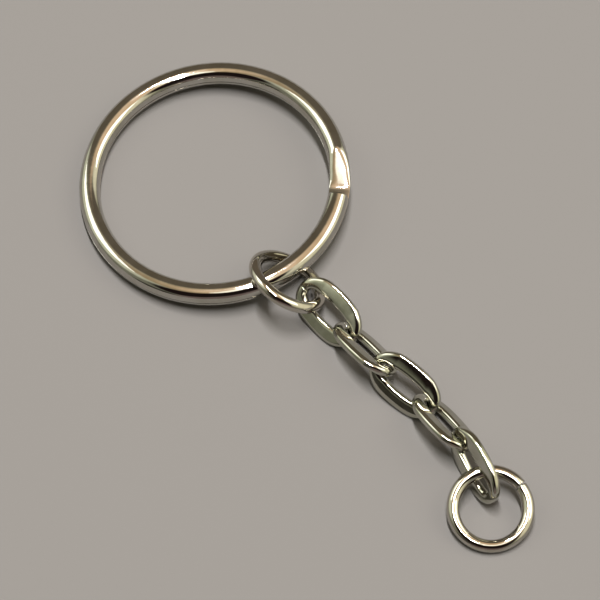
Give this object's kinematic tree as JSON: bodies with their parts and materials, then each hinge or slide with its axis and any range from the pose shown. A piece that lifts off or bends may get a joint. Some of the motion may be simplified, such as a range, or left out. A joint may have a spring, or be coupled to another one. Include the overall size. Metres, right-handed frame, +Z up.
{
  "type": "split key ring with chain",
  "caption": "Steel split key ring with a short chain of flattened oval links and a cut jump ring at each end of the chain.",
  "frame": {"origin": "under the middle of the bounding box of the whole object, on the surface it lies on", "axes": "+Z up from the surface, +Y from the end of the chain towards the split ring, +X to the right seen from above with the split ring at the top"},
  "size_m": [0.025, 0.0568, 0.0053],
  "materials": {
    "split_ring_nickel": "bright nickel plate on spring steel, fine handling scratches",
    "wire_nickel": "bright nickel plate on round steel wire, bare at the cut ends",
    "link_nickel": "bright nickel plate on flattened steel wire, lightly worn on the edges"
  },
  "bodies": {
    "split_ring": {"split_ring": "split_ring_nickel"},
    "connector_ring": {"connector_ring": "wire_nickel"},
    "chain_link_1": {"chain_link_1": "link_nickel"},
    "chain_link_2": {"chain_link_2": "link_nickel"},
    "chain_link_3": {"chain_link_3": "link_nickel"},
    "chain_link_4": {"chain_link_4": "link_nickel"},
    "chain_link_5": {"chain_link_5": "link_nickel"},
    "end_ring": {"end_ring": "wire_nickel"}
  },
  "joints": [
    {"name": "connector_swing", "type": "hinge", "parent": "split_ring", "child": "connector_ring", "pos_m": [-0.00082, 0.00437, 0.00226], "axis": [0.9962, -0.0686, 0.0529], "range_deg": [-60, 60]},
    {"name": "link_1_swing", "type": "hinge", "parent": "connector_ring", "child": "chain_link_1", "pos_m": [0.0001, 0.0004, 0.00177], "axis": [0.673, 0.4482, -0.5884], "range_deg": [-60, 60]},
    {"name": "link_2_swing", "type": "hinge", "parent": "chain_link_1", "child": "chain_link_2", "pos_m": [0.00045, -0.00416, 0.00144], "axis": [0.7784, 0.0123, 0.6276], "range_deg": [-60, 60]},
    {"name": "link_3_swing", "type": "hinge", "parent": "chain_link_2", "child": "chain_link_3", "pos_m": [0.00057, -0.00913, 0.00254], "axis": [0.7289, -0.1074, -0.6762], "range_deg": [-60, 60]},
    {"name": "link_4_swing", "type": "hinge", "parent": "chain_link_3", "child": "chain_link_4", "pos_m": [0.00178, -0.01401, 0.00151], "axis": [0.6879, 0.0482, 0.7242], "range_deg": [-60, 60]},
    {"name": "link_5_swing", "type": "hinge", "parent": "chain_link_4", "child": "chain_link_5", "pos_m": [0.00149, -0.01897, 0.00254], "axis": [0.925, -0.097, -0.3675], "range_deg": [-60, 60]},
    {"name": "end_ring_swing", "type": "hinge", "parent": "chain_link_5", "child": "end_ring", "pos_m": [0.00092, -0.02155, 0.00221], "axis": [-0.9347, 0.3488, -0.0676], "range_deg": [-60, 60]}
  ]
}
